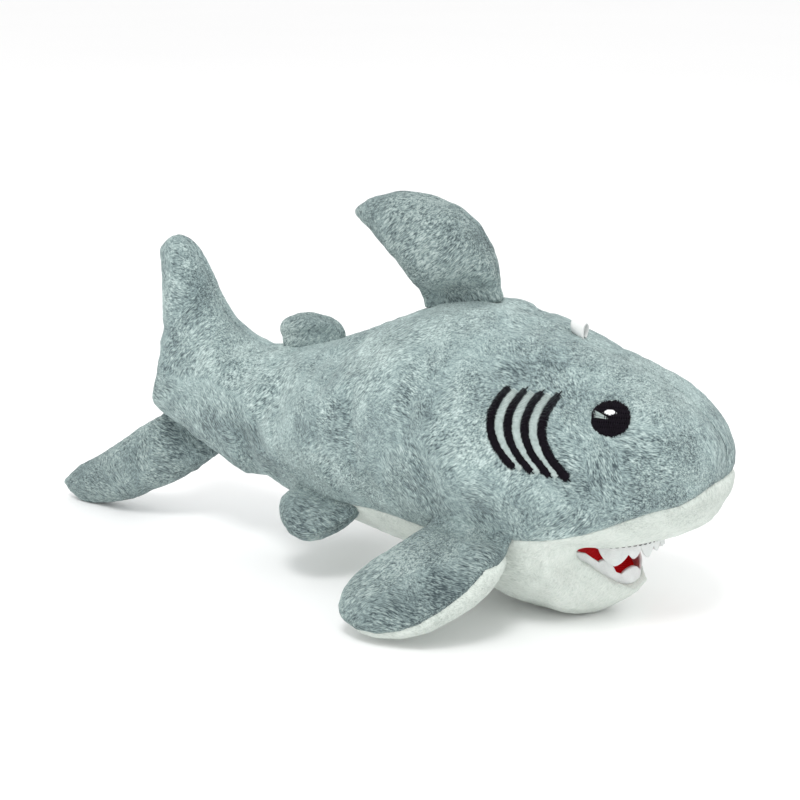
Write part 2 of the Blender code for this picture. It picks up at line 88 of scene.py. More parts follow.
# The upper lip is half an ellipse round LIP_CENTRE_X, which rises a little towards its front.
LIP_CENTRE_X = 9.0
UPPER_LIP = (25.5, 17.0)
UPPER_LIP_Z, LIP_RISE, LIP_RISE_FROM = 29.0, 0.14, 20.0
UPPER_ROLL, LOWER_ROLL = 1.5, 1.7
THROAT_X = 5.0


# Meshes as arrays.

def coords_of(mesh):
    co = np.empty(len(mesh.vertices) * 3)
    mesh.vertices.foreach_get("co", co)
    return co.reshape(-1, 3)


def normals_of(mesh):
    normals = np.empty(len(mesh.vertices) * 3)
    mesh.vertices.foreach_get("normal", normals)
    return normals.reshape(-1, 3)


def set_coords(mesh, co):
    mesh.vertices.foreach_set("co", np.ascontiguousarray(co).ravel())
    mesh.update()


def opened(mesh):
    bm = bmesh.new()
    bm.from_mesh(mesh)
    return bm


def closed(bm, mesh):
    """Write an editable mesh to a plain one."""
    bm.to_mesh(mesh)
    bm.free()
    return mesh


def cad_points(names):
    return np.concatenate([coords_of(NODES[name].data) for name in names])


def tree_of(points):
    tree = KDTree(len(points))
    for i, point in enumerate(points):
        tree.insert(point, i)
    tree.balance()
    return tree


def distance_to(points, targets):
    """Distance from each point to the nearest target."""
    if not len(targets):
        return np.full(len(points), 1.0)
    tree = tree_of(targets)
    return np.array([tree.find(point)[2] for point in points])


def noise_at(points, size, seed, stretch=(1, 1, 1)):
    """Smooth noise from -1 to 1 with lumps of a given size in millimetres."""
    scaled = points / (np.array(stretch) * size * MM) + seed * 17.3
    return np.array([noise.noise(point) for point in scaled])


def baked(piece):
    """Turn an object with modifiers into a plain mesh, and drop the object."""
    depsgraph = bpy.context.evaluated_depsgraph_get()
    mesh = bpy.data.meshes.new_from_object(piece.evaluated_get(depsgraph))
    bpy.data.objects.remove(piece)
    return mesh


def loose_object(name, mesh):
    piece = bpy.data.objects.new(name, mesh)
    bpy.context.scene.collection.objects.link(piece)
    return piece


def outer_shell(mesh):
    """Drop the small closed pockets that a remesh leaves inside."""
    bm = opened(mesh)
    unseen, shells = set(bm.verts), []
    while unseen:
        stack = [unseen.pop()]
        shell = list(stack)
        while stack:
            for edge in stack.pop().link_edges:
                for vertex in edge.verts:
                    if vertex in unseen:
                        unseen.remove(vertex)
                        stack.append(vertex)
                        shell.append(vertex)
        shells.append(shell)
    shells.sort(key=len)
    bmesh.ops.delete(bm, geom=[v for shell in shells[:-1] for v in shell], context="VERTS")
    return closed(bm, mesh)


def remeshed(mesh, voxel):
    piece = loose_object("remesh", mesh)
    modifier = piece.modifiers.new("voxels", "REMESH")
    modifier.mode = "VOXEL"
    modifier.voxel_size = voxel * MM
    return outer_shell(baked(piece))


def subdivided(mesh):
    piece = loose_object("subdivide", mesh)
    modifier = piece.modifiers.new("subdivide", "SUBSURF")
    modifier.levels = modifier.render_levels = 1
    return baked(piece)


def smooth(mesh, steps, keep=None):
    """Even out a mesh without shrinking it; keep holds vertices still, from 0 to 1."""
    edges = np.empty(len(mesh.edges) * 2, int)
    mesh.edges.foreach_get("vertices", edges)
    first, second = edges.reshape(-1, 2).T
    count = np.bincount(edges, minlength=len(mesh.vertices))[:, None]
    free = 1.0 if keep is None else 1 - keep[:, None]
    co = coords_of(mesh)
    for factor in (0.6, -0.61) * steps:
        total = np.zeros_like(co)
        for axis in range(3):
            total[:, axis] += np.bincount(first, co[second, axis], len(co))
            total[:, axis] += np.bincount(second, co[first, axis], len(co))
        co += (total / count - co) * factor * free
    set_coords(mesh, co)


def add_hull(bm, points):
    hull = bmesh.new()
    verts = [hull.verts.new(point) for point in points]
    made = bmesh.ops.convex_hull(hull, input=verts)
    inner = {g for g in made["geom_interior"] + made["geom_unused"] if isinstance(g, bmesh.types.BMVert)}
    bmesh.ops.delete(hull, geom=list(inner), context="VERTS")
    mesh = closed(hull, bpy.data.meshes.new("hull"))
    bm.from_mesh(mesh)
    bpy.data.meshes.remove(mesh)


def skin_around(nodes, voxel, hulls=()):
    """One closed skin around some CAD nodes and the hulls of some sets of points."""
    bm = bmesh.new()
    for node in nodes:
        bm.from_mesh(NODES[node].data)
    for points in hulls:
        add_hull(bm, points)
    return remeshed(closed(bm, bpy.data.meshes.new("skin")), voxel)


def puff(mesh, held, voxel, cap, surplus):
    """Let a coarse copy of the skin swell as cloth, and move the fine skin the same way.

    held(points) says how firmly each point is sewn down, from 0 to 1.
    """
    coarse = remeshed(mesh.copy(), voxel)
    piece = loose_object("cloth", coarse)
    start = coords_of(coarse)
    sewn = piece.vertex_groups.new(name="sewn")
    for i, weight in enumerate(held(start)):
        sewn.add([i], float(weight), "REPLACE")
    modifier = piece.modifiers.new("cloth", "CLOTH")
    settings = modifier.settings
    settings.quality = 6
    settings.mass = 0.3
    settings.bending_stiffness = 0.4
    settings.use_pressure = True
    settings.uniform_pressure_force = 4.0
    settings.vertex_group_mass = "sewn"
    settings.shrink_min = -surplus
    settings.effector_weights.gravity = 0.0
    modifier.collision_settings.use_collision = False
    modifier.point_cache.frame_start = 1
    modifier.point_cache.frame_end = 20
    for number in range(1, 21):
        bpy.context.scene.frame_set(number)
    end = coords_of(baked(piece))
    bpy.context.scene.frame_set(1)
    move = end - start
    length = np.linalg.norm(move, axis=1, keepdims=True)
    move *= np.minimum(1.0, cap * MM / np.maximum(length, 1e-9))
    tree = tree_of(start)
    co = coords_of(mesh)
    for i, point in enumerate(co.copy()):
        near = tree.find_n(point, 6)
        weights = np.array([1 / (n[2] ** 2 + 1e-7) for n in near])
        co[i] += weights @ move[[n[1] for n in near]] / weights.sum()
    set_coords(mesh, co)


def cut_along(bm, name, field, where=None):
    """Cut the faces along the line where field changes sign, and return the points of the line.

    The field's values stay on the vertices, in a layer called name.
    """
    layer = bm.verts.layers.float.new(name)
    verts = list(bm.verts)
    places = np.array([v.co for v in verts])
    values = field(places)
    values[np.abs(values) < SNAP * MM] = 0.0
    allowed = np.ones(len(verts), bool) if where is None else where(places)
    for vertex, value in zip(verts, values):
        vertex[layer] = value
    inside = {v for v, ok in zip(verts, allowed) if ok}
    line = {v for v, value in zip(verts, values) if value == 0.0 and v in inside}
    for edge in list(bm.edges):
        a, b = edge.verts
        if a[layer] * b[layer] < 0 and a in inside and b in inside:
            share = a[layer] / (a[layer] - b[layer])
            _, vertex = bmesh.utils.edge_split(edge, a, share)
            vertex[layer] = 0.0
            line.add(vertex)
    for face in list(bm.faces):
        ends = [v for v in face.verts if v in line]
        if len(ends) == 2 and bm.edges.get(ends) is None:
            bmesh.utils.face_split(face, ends[0], ends[1])
    return np.array([v.co for v in line]).reshape(-1, 3)


def side_of(bm, name):
    """1 for each face on the positive side of a cut, and 0 for the others."""
    layer = bm.verts.layers.float[name]
    return np.array([1 if sum(v[layer] for v in face.verts) > 0 else 0 for face in bm.faces])


def split_faces(bm, groups):
    """Split a mesh into one mesh for each group number."""
    parts = {}
    for value in sorted(set(groups)):
        part = bm.copy()
        part.faces.ensure_lookup_table()
        gone = [part.faces[i] for i in np.nonzero(groups != value)[0]]
        bmesh.ops.delete(part, geom=gone, context="FACES")
        parts[value] = closed(part, bpy.data.meshes.new(str(value)))
    return parts


def thickened(name, mesh, thickness):
    """A closed object made from an open sheet by giving it thickness behind its faces."""
    piece = loose_object("sheet", mesh)
    modifier = piece.modifiers.new("thickness", "SOLIDIFY")
    modifier.thickness = thickness * MM
    modifier.offset = -1.0
    return loose_object(name, baked(piece))


def cloth_piece(name, mesh, material, slot, replaced):
    """A sewn panel with real thickness, as one closed mesh."""
    piece = thickened(name, mesh, CLOTH_THICKNESS)
    finish_piece(piece, material, slot, replaced)
    return piece


def finish_piece(piece, material, slot, replaced=()):
    piece.data.materials.clear()
    piece.data.materials.append(material)
    piece.data.shade_smooth()
    if replaced:
        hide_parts(*replaced)


# Materials.

class Shader:
    """A Principled material whose nodes are added with short calls."""

    def __init__(self, name, roughness, sheen=0.0, specular=0.3, sheen_tint=(1, 1, 1)):
        self.material = bpy.data.materials.new(name)
        self.material.use_nodes = True
        self.tree = self.material.node_tree
        self.principled = self.tree.nodes["Principled BSDF"]
        inputs = self.principled.inputs
        inputs["Roughness"].default_value = roughness
        inputs["Specular IOR Level"].default_value = specular
        inputs["Sheen Weight"].default_value = sheen
        inputs["Sheen Roughness"].default_value = 0.45
        inputs["Sheen Tint"].default_value = (*sheen_tint, 1)
        self.place = self.add("ShaderNodeTexCoord").outputs["Object"]

    def add(self, kind, links=None, **settings):
        node = self.tree.nodes.new(kind)
        for key, value in settings.items():
            setattr(node, key, value)
        for key, value in (links or {}).items():
            if isinstance(value, bpy.types.NodeSocket):
                self.tree.links.new(value, node.inputs[key])
            else:
                node.inputs[key].default_value = value
        return node

    def math(self, operation, first, second=0.0, third=0.0):
        links = {0: first, 1: second, 2: third}
        return self.add("ShaderNodeMath", links, operation=operation).outputs[0]

    def noise(self, place, size, detail=2.0, roughness=0.5):
        """Noise with lumps of a given size in millimetres."""
        links = {"Vector": place, "Scale": 1 / (size * MM), "Detail": detail, "Roughness": roughness}
        return self.add("ShaderNodeTexNoise", links)

    def grain(self, place, turn, along, across, detail=2.0):
        """Noise drawn out along a direction turned about Y, in millimetres."""
        links = {
            "Vector": place,
            "Rotation": (0.0, math.radians(turn), 0.0),
            "Scale": (along * MM, across * MM, across * MM),
        }
        mapped = self.add("ShaderNodeMapping", links, vector_type="TEXTURE").outputs[0]
        links = {"Vector": mapped, "Scale": 1.0, "Detail": detail}
        return self.add("ShaderNodeTexNoise", links).outputs["Fac"]

    def mix(self, share, first, second):
        links = {"Factor": share, "A": first, "B": second}
        return self.add("ShaderNodeMix", links).outputs["Result"]

    def spread(self, value, low, high):
        """Stretch low..high to 0..1 with soft ends."""
        links = {"Value": value, "From Min": low, "From Max": high}
        return self.add("ShaderNodeMapRange", links, interpolation_type="SMOOTHSTEP").outputs[0]

    def wandering(self, size, reach):
        """Object coordinates pushed about by broad noise, so that a grain wanders."""
        push = self.noise(self.place, size, 1.0).outputs["Color"]
        centred = self.add("ShaderNodeVectorMath", {0: push, 1: (0.5, 0.5, 0.5)}, operation="SUBTRACT")
        links = {0: centred.outputs[0], "Scale": reach * MM}
        scaled = self.add("ShaderNodeVectorMath", links, operation="SCALE")
        total = self.add("ShaderNodeVectorMath", {0: self.place, 1: scaled.outputs[0]}, operation="ADD")
        return total.outputs[0]

    def colours(self, share, stops):
        ramp = self.add("ShaderNodeValToRGB", {"Fac": share})
        elements = ramp.color_ramp.elements
        while len(elements) < len(stops):
            elements.new(0.5)
        for element, (position, colour) in zip(elements, stops):
            element.position = position
            element.color = (*colour, 1)
        self.tree.links.new(ramp.outputs["Color"], self.principled.inputs["Base Color"])

    def bump(self, height, depth, strength=1.0):
        links = {"Height": height, "Distance": depth * MM, "Strength": strength}
        normal = self.add("ShaderNodeBump", links).outputs[0]
        self.tree.links.new(normal, self.principled.inputs["Normal"])


# Directions in degrees that the pile leans in, and the sizes of the patches that lean each way.
PILE_TURNS = (8.0, 58.0, -42.0)
LEAN_SIZES = (26.0, 37.0)
TUFT_LENGTH, TUFT_WIDTH = 1.6, 2.6      # a tuft's size compared with the pile's


def plush(name, stops, mottle, grain, depth, pile_length, pile_width, sheen, tint):
    """Combed pile: streaks that wander, over soft patches where the pile leans differently."""
    shader = Shader(name, 0.92, sheen, 0.12, tint)
    place = shader.wandering(20.0, 6.0)
    fields = [shader.grain(place, turn, pile_length, pile_width, 3.0) for turn in PILE_TURNS]
    tufts = [shader.grain(place, turn, pile_length * TUFT_LENGTH, pile_width * TUFT_WIDTH, 2.0)
             for turn in PILE_TURNS]
    masks = []
    for size in LEAN_SIZES:
        lean = shader.noise(shader.place, size, 1.0).outputs["Fac"]
        masks.append(shader.spread(lean, 0.44, 0.58))
    fibre, tuft = fields[0], tufts[0]
    for mask, other, bunch in zip(masks, fields[1:], tufts[1:]):
        fibre = shader.mix(mask, fibre, other)
        tuft = shader.mix(mask, tuft, bunch)
    # The broad and patch noise lighten and darken soft patches of the pile: partly its own uneven tone,
    # partly painted sheen where the nap catches the light differently.
    broad = shader.noise(place, 34.0, 3.0, 0.6).outputs["Fac"]
    patch = shader.noise(place, 11.0, 2.0, 0.55).outputs["Fac"]
    total = shader.math("MULTIPLY_ADD", broad, mottle, 0.5 - 0.5 * mottle)
    for value, amount in ((patch, mottle * 0.7), (tuft, grain * 0.6), (fibre, grain)):
        centred = shader.math("MULTIPLY_ADD", value, amount, -0.5 * amount)
        total = shader.math("ADD", total, centred)
    shader.colours(total, stops)
    height = shader.math("MULTIPLY_ADD", tuft, 0.9, fibre)
    shader.bump(height, depth)
    return shader.material


def woven(name, stops, pitch, depth, roughness, sheen=0.1):
    """Flat woven cloth: two crossing sets of threads."""
    shader = Shader(name, roughness, sheen, 0.3)
    waves = []
    for turn in ((0, 0, 0), (0, math.pi / 2, math.pi / 2)):
        links = {"Vector": shader.place, "Rotation": turn, "Scale": (MM, MM, MM)}
        mapped = shader.add("ShaderNodeMapping", links, vector_type="TEXTURE").outputs[0]
        links = {"Vector": mapped, "Scale": math.pi / (10 * pitch), "Distortion": 0.6, "Detail": 1.0}
        waves.append(shader.add("ShaderNodeTexWave", links).outputs["Fac"])
    weave = shader.math("MULTIPLY", waves[0], waves[1])
    broad = shader.noise(shader.place, 6.0).outputs["Fac"]
    shader.colours(shader.math("MULTIPLY_ADD", weave, 0.3, broad), stops)
    shader.bump(weave, depth)
    return shader.material


def felt(name, stops):
    shader = Shader(name, 0.95, 0.3, 0.15)
    fine = shader.noise(shader.place, 0.35, 3.0, 0.7).outputs["Fac"]
    hairs = shader.grain(shader.wandering(3.0, 3.0), 35.0, 2.4, 0.25)
    broad = shader.noise(shader.place, 3.0).outputs["Fac"]
    total = shader.math("MULTIPLY_ADD", hairs, 0.5, shader.math("MULTIPLY", broad, 0.5))
    shader.colours(total, stops)
    shader.bump(shader.math("ADD", fine, hairs), 0.25)
    return shader.material


def thread(name, stops, roughness=0.42, specular=0.45, sheen=0.15):
    """Embroidery thread: fine twisted filaments with a soft gloss."""
    shader = Shader(name, roughness, sheen, specular)
    strands = shader.grain(shader.place, 0.0, 0.9, 0.12)
    broad = shader.noise(shader.place, 1.3).outputs["Fac"]
    shader.colours(shader.math("MULTIPLY_ADD", strands, 0.5, shader.math("MULTIPLY", broad, 0.5)), stops)
    shader.bump(strands, 0.08)
    return shader.material


def grey_stops(light):
    """Colours of the grey pile from its roots to its tips, scaled by light; a copy scaled below 1 is painted
    shade.
    """
    stops = ((0.16, (0.075, 0.105, 0.115)), (0.40, (0.215, 0.285, 0.290)),
             (0.60, (0.360, 0.462, 0.455)), (0.88, (0.640, 0.760, 0.735)))
    return [(place, tuple(light * value for value in colour)) for place, colour in stops]


GREY_TINT = (0.85, 0.97, 0.95)
GREY = plush("grey_plush", grey_stops(1.0), 0.7, 1.5, 0.8, 1.7, 0.36, 0.4, GREY_TINT)
# A darker copy of the grey pile for the fins: painted shade, standing in for the nap on the fins turned away
# from the light.
SHADED_FIN_GREY = plush("grey_plush_fins_painted_shade", grey_stops(0.76), 0.7, 1.6, 0.8, 1.7, 0.36, 0.3, GREY_TINT)
WHITE = plush("white_plush", ((0.15, (0.44, 0.50, 0.46)), (0.45, (0.66, 0.72, 0.67)),
                              (0.8, (0.81, 0.86, 0.81))), 0.55, 0.8, 0.6, 1.6, 0.40, 0.2, (1.0, 1.0, 1.0))
RED = woven("red_cloth", ((0.2, (0.70, 0.004, 0.010)), (0.6, (0.94, 0.012, 0.026)), (0.9, (1.0, 0.03, 0.05))),
            0.5, 0.12, 0.6, 0.25)
FELT = felt("white_felt", ((0.2, (0.66, 0.69, 0.68)), (0.5, (0.80, 0.83, 0.82)), (0.8, (0.88, 0.90, 0.89))))
BLACK = thread("black_thread", ((0.25, (0.002, 0.0015, 0.0025)), (0.55, (0.006, 0.004, 0.008)),
                                (0.85, (0.020, 0.014, 0.024))), 0.6, 0.1, 0.0)
PALE = thread("grey_thread", ((0.25, (0.26, 0.32, 0.31)), (0.5, (0.47, 0.56, 0.54)),
                              (0.75, (0.66, 0.74, 0.72))), 0.6, 0.3)
BRIGHT = thread("white_thread", ((0.2, (0.78, 0.80, 0.81)), (0.8, (0.92, 0.93, 0.93))))
TAPE = woven("white_tape", ((0.2, (0.66, 0.68, 0.67)), (0.6, (0.80, 0.82, 0.81)), (0.9, (0.88, 0.9, 0.89))),
             0.4, 0.1, 0.8)


# Body.

BODY_NODES = [
    "side_panel_right", "side_panel_left", "tail_panel_right", "tail_panel_left",
    "belly_panel", "snout_panel",
    "body_stuffing", "snout_stuffing", "jaw_stuffing", "tail_stuffing",
]
FINS = (
    "dorsal_fin", "second_dorsal_fin", "pectoral_fin_right", "pectoral_fin_left", "pelvic_fin_right",
    "pelvic_fin_left", "lower_tail_lobe",
)
SIDES = ((-1, "right"), (1, "left"))
EYE_RADIUS = 6.2
# The body as cloth: the coarse copy's voxel, the most that it swells, and the share of spare cloth.
BODY_CLOTH_VOXEL, BODY_SWELL, BODY_SURPLUS = 4.5, 3.0, 0.018
CROWN_DROP, SNOUT_FILL, SNOUT_DROP = 3.4, 2.0, 0.9
CHEEK, CHEEK_RADIUS = ((3.5, 33, 32), (7.0, 27.5, 30.3), (9.3, 23.0, 29.0)), 2.2
LIP_STEPS = 36
TAIL_BEND_START, TAIL_BEND_END = (-0.117, 0, 0.05), (-0.138, 0, 0.05)


def curve_through(stations, count=200):
    """Points along a smooth curve through a table of x and height."""
    table = np.array(stations, float) * MM
    slopes = np.gradient(table[:, 1], table[:, 0])
    xs = np.linspace(table[0, 0], table[-1, 0], count)
    k = np.clip(np.searchsorted(table[:, 0], xs) - 1, 0, len(table) - 2)
    width = table[k + 1, 0] - table[k, 0]
    t = (xs - table[k, 0]) / width
    start = (1 + 2 * t) * (1 - t) ** 2 * table[k, 1] + width * t * (1 - t) ** 2 * slopes[k]
    end = t * t * (3 - 2 * t) * table[k + 1, 1] + width * t * t * (t - 1) * slopes[k + 1]
    return np.stack([xs, start + end], axis=1)


# Height of the seam between the grey sides and the white underside, as it is sewn on the part.
SEAM = curve_through((
    (-127, 15), (-116, 20), (-100, 26), (-72, 30), (-42, 30), (-7, 34), (6, 35.5), (22, 40.5),
    (36, 46.5), (48, 51), (53.4, 55.5),
))


def above_seam(points):
    """Height above the seam of the grey sides."""
    return points[:, 2] - np.interp(points[:, 0], SEAM[:, 0], SEAM[:, 1])


def middle_box(node):
    low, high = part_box(node)
    return (low + high) / 2


def embroidered(points):
    """How close each point is to an eye or to the gill slits, from 0 to 1."""
    near = np.zeros(len(points))
    for _, word in SIDES:
        centre = np.array(middle_box(f"eye_{word}"))
        away = np.linalg.norm(points - centre, axis=1)
        near = np.maximum(near, np.clip(1.6 - away / (EYE_RADIUS * MM), 0, 1))
        first, last = (np.array(middle_box(f"gill_slit_{word}_{k}")) for k in (1, 4))
        centre = (first + last) / 2
        away = np.abs(points - centre) / (np.array((15.0, 12.0, 14.5)) * MM)
        near = np.maximum(near, np.clip(3.0 - 2.4 * away.max(axis=1), 0, 1))
    return near


def fin_kind(fin):
    """A fin's name without its side."""
    return fin.replace("_right", "").replace("_left", "")


def fin_roots():
    """Points along the line where each fin is sewn on."""
    lines = []
    for fin in FINS:
        kind = fin_kind(fin)
        side = fin[len(kind):]
        points = cad_points([n for n in NODES if n.startswith(kind) and n.endswith(side)])
        axis, origin, outward = fin_axes(fin, points)
        reach = (points - origin) @ axis
        for share in np.linspace(0, 1, 24):
            lines.append(origin + axis * (reach.min() + share * (reach.max() - reach.min())) * 0.9)
    return np.array(lines)


def fin_axes(fin, points):
    """Direction along a fin's root, a point on it, and the direction from the root to the fin."""
    joint = JOINTS[fin]
    axis = np.array(joint["axis"], float)
    axis /= np.linalg.norm(axis)
    origin = np.array(joint["pos_m"], float)
    outward = points.mean(axis=0) - origin
    outward -= axis * (outward @ axis)
    return axis, origin, outward / np.linalg.norm(outward)


def body_held(points):
    """The body's cloth is held at its seams, at the fins, at the mouth and at the embroidery."""
    seam = np.clip(1.5 - np.abs(above_seam(points)) / (5 * MM), 0, 1)
    back = np.clip(1.3 - np.abs(points[:, 1]) / (5 * MM), 0, 1) * (points[:, 2] > 0.045)
    fins = np.clip(1.8 - distance_to(points, fin_roots()) / (7 * MM), 0, 1)
    mouth = np.clip((points[:, 0] - 0.002) / 0.01, 0, 1) * np.clip((0.044 - points[:, 2]) / 0.008, 0, 1)
    tail = np.clip((-0.118 - points[:, 0]) / 0.02, 0, 0.75)
    total = np.maximum.reduce([seam * 0.9, back * 0.8, fins, mouth, tail, embroidered(points)])
    return np.clip(total, 0, 1)


def on_floor(mesh):
    """Flatten whatever would sink below the ground."""
    co = coords_of(mesh)
    co[:, 2] = np.maximum(co[:, 2], FLOOR_CLEARANCE * MM)
    set_coords(mesh, co)


def tail_bridge():
    """Points around the gap where the tail sways, which the cloth spans."""
    front = cad_points(["side_panel_right", "side_panel_left", "body_stuffing"])
    back = cad_points(["tail_panel_right", "tail_panel_left"])
    return np.concatenate([front[front[:, 0] < -0.1235], back[back[:, 0] > -0.1365]])


def nose_cap():
    points = cad_points(["side_panel_right", "side_panel_left", "snout_panel"])
    return points[points[:, 0] > 0.0475]


BALL = np.array([(x, y, z) for x in (-1, 0, 1) for y in (-1, 0, 1) for z in (-1, 0, 1) if x or y or z], float)
BALL /= np.linalg.norm(BALL, axis=1, keepdims=True)


def roll(points, radius):
    """Point sets of a round roll of cloth along some points in millimetres."""
    balls = [(np.array(point) + BALL * radius) * MM for point in points]
    return [np.concatenate(pair) for pair in zip(balls, balls[1:])]


def jaw_rim():
    """Right rim of the lower jaw, from the throat to the tip: x, half width and height in millimetres."""
    rows = {}
    for x, y, z in coords_of(NODES["belly_panel"].data) / MM:
        if x > THROAT_X:
            rows.setdefault(round(float(x), 2), []).append((abs(y), z))
    return [(x, *max(row)) for x, row in sorted(rows.items())]


def upper_lip_height(x):
    return UPPER_LIP_Z + LIP_RISE * max(0.0, x - LIP_RISE_FROM)


def lips():
    """Rolled edges of the mouth, and the cheeks that close its corners."""
    upper = []
    for k in range(LIP_STEPS + 1):
        angle = math.radians(-100 + 200 * k / LIP_STEPS)
        x = LIP_CENTRE_X + (UPPER_LIP[0] - UPPER_ROLL) * math.cos(angle)
        y = (UPPER_LIP[1] - UPPER_ROLL) * math.sin(angle)
        upper.append((x, y, upper_lip_height(x) + UPPER_ROLL))
    right = [(x, -(half - LOWER_ROLL), z - LOWER_ROLL * 0.8) for x, half, z in jaw_rim()]
    lower = right + [(x, -y, z) for x, y, z in reversed(right)]
    hulls = roll(upper, UPPER_ROLL) + roll(lower, LOWER_ROLL)
    for side, _ in SIDES:
        hulls += roll([(x, side * y, z) for x, y, z in CHEEK], CHEEK_RADIUS)
    return hulls


def fill_out(mesh):
    """Fill the snout out in front and draw the top of the head down, as the stuffing does."""
    co = coords_of(mesh)
    x, z = co[:, 0] / MM, co[:, 2] / MM
    crown = np.clip((x + 52) / 30, 0, 1) * np.clip((z - 58) / 22, 0, 1)
    snout = np.clip((x - 32) / 14, 0, 1) * np.clip((60 - z) / 9, 0, 1)
    co[:, 0] += SNOUT_FILL * MM * snout
    co[:, 2] -= (CROWN_DROP * crown + SNOUT_DROP * snout) * MM
    set_coords(mesh, co)


def body_skin():
    """One closed skin round the body and the tail; the chin is smoothed most."""
    mesh = skin_around(BODY_NODES, BODY_VOXEL, [tail_bridge(), nose_cap()] + lips())
    smooth(mesh, 5)
    co = coords_of(mesh)
    chin = np.clip((co[:, 0] + 0.03) / 0.02, 0, 1) * np.clip((0.036 - co[:, 2]) / 0.006, 0, 1)
    smooth(mesh, 22, 1 - chin * np.clip((0.020 - co[:, 0]) / 0.008, 0.25, 1))
    fill_out(mesh)
    puff(mesh, body_held, BODY_CLOTH_VOXEL, BODY_SWELL, BODY_SURPLUS)
    return subdivided(mesh)


def body():
    """Grey sides and white underside of the body; returns a search tree over their outside."""
    mesh = body_skin()
    bm = opened(mesh)
    side_line = cut_along(bm, "seam", above_seam)
    back_line = cut_along(bm, "back", lambda p: p[:, 1].copy(), lambda p: above_seam(p) > -0.0002)
    closed(bm, mesh)
    pile(mesh, (side_line, back_line), embroidered)
    on_floor(mesh)
    bm = opened(mesh)
    grey = side_of(bm, "seam")
    parts = split_faces(bm, grey * (1 + side_of(bm, "back")))
    bm.free()
    white = cloth_piece("white_underside_cover", parts[0], WHITE, "white_plush",
                        ["belly_panel", "snout_panel", "jaw_stuffing"])
    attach(white, "shark_body")
    right = cloth_piece("grey_side_cover_right", parts[1], GREY, "grey_plush",
                        ["side_panel_right", "tail_panel_right", "body_stuffing", "tail_stuffing"])
    left = cloth_piece("grey_side_cover_left", parts[2], GREY, "grey_plush",
                       ["side_panel_left", "tail_panel_left", "snout_stuffing"])
    for piece in (right, left):
        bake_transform(piece, "shark_body", "tail", start=TAIL_BEND_START, end=TAIL_BEND_END)
    return skin_tree((right, left, white))


def pile(mesh, lines, pressed=None):
    """Lumps of stuffing and tufts of pile, with a channel sewn in along each line."""
    co, normals = coords_of(mesh), normals_of(mesh)
    height = 0.55 * noise_at(co, 22, 1) + 0.28 * noise_at(co, 9, 2) + 0.16 * noise_at(co, 3.2, 3, (1.6, 1, 1))
    height += 0.10 * noise_at(co, 1.7, 4, (1.8, 1, 1))
    for line, depth in zip(lines, (SEAM_DEPTH, SEAM_DEPTH * 0.5)):
        near = distance_to(co, line) / (SEAM_WIDTH * MM)
        height -= depth * np.exp(-near ** 2)
    if pressed is not None:
        flat = pressed(co)
        height = height * (1 - 0.6 * flat) - 0.35 * flat
    set_coords(mesh, co + normals * height[:, None] * MM)


def skin_tree(pieces):
    """A search tree over the outside of some pieces."""
    verts, faces = [], []
    for piece in pieces:
        first = len(verts)
        verts.extend(v.co.copy() for v in piece.data.vertices)
        faces.extend([first + i for i in p.vertices] for p in piece.data.polygons)
    return BVHTree.FromPolygons(verts, faces)


# Fins.

# How each fin is stuffed: most it swells in millimetres, share it is shortened by, how far its tip is swept
# back in millimetres, and the height and slope of the seam round its rim above the middle of the fin.
FIN_SHAPES = {
    "dorsal_fin": (1.8, 0.0, 0.0, 0.0, 0.0),
    "second_dorsal_fin": (0.6, 0.18, -2.2, 0.0, 0.0),
    "lower_tail_lobe": (1.8, 0.0, 0.0, 0.0, 0.0),
    "pectoral_fin": (3.2, 0.04, 4.0, 4.6, 0.20),
    "pelvic_fin": (1.6, 0.0, 0.0, 0.0, 0.0),
}
ROOT_BAND, ROOT_DEPTH = 2.2, 6.0        # the cloth this near the root goes this far into the body
SWEEP_REACH = 30.0                      # the tip is swept back fully from here out
FIN_CLOTH_VOXEL, FIN_SURPLUS = 3.4, 0.02
# The rim's seam rises by SEAM_LEAD as it goes out. Behind SEAM_FRONT it drops within SEAM_TAPER of the root.
SEAM_LEAD, SEAM_FRONT, SEAM_TAPER = 0.5, 5.0, 12.0
BEND_BEFORE, BEND_AFTER = 1.0, 11.0     # the bend at the root starts and ends this far from the joint


def fin_skin(nodes, points, origin, outward, shape):
    """One closed skin round a fin, with its root sunk into the body."""
    cap, shorten, sweep = shape
    near = points[(points - origin) @ outward < ROOT_BAND * MM]
    root = np.concatenate([near, near - outward * ROOT_DEPTH * MM])
    mesh = skin_around(nodes, FIN_VOXEL, [root])
    smooth(mesh, 4)
    co = coords_of(mesh)
    reach = np.maximum((co - origin) @ outward, 0)
    co[:, 0] -= sweep * MM * np.clip(reach / (SWEEP_REACH * MM), 0, 1)
    co -= outward * (shorten * reach)[:, None]
    set_coords(mesh, co)

    def held(p):
        return np.clip(1.5 - ((p - origin) @ outward) / (5 * MM), 0, 1)

    puff(mesh, held, FIN_CLOTH_VOXEL, cap, FIN_SURPLUS)
    return subdivided(mesh)


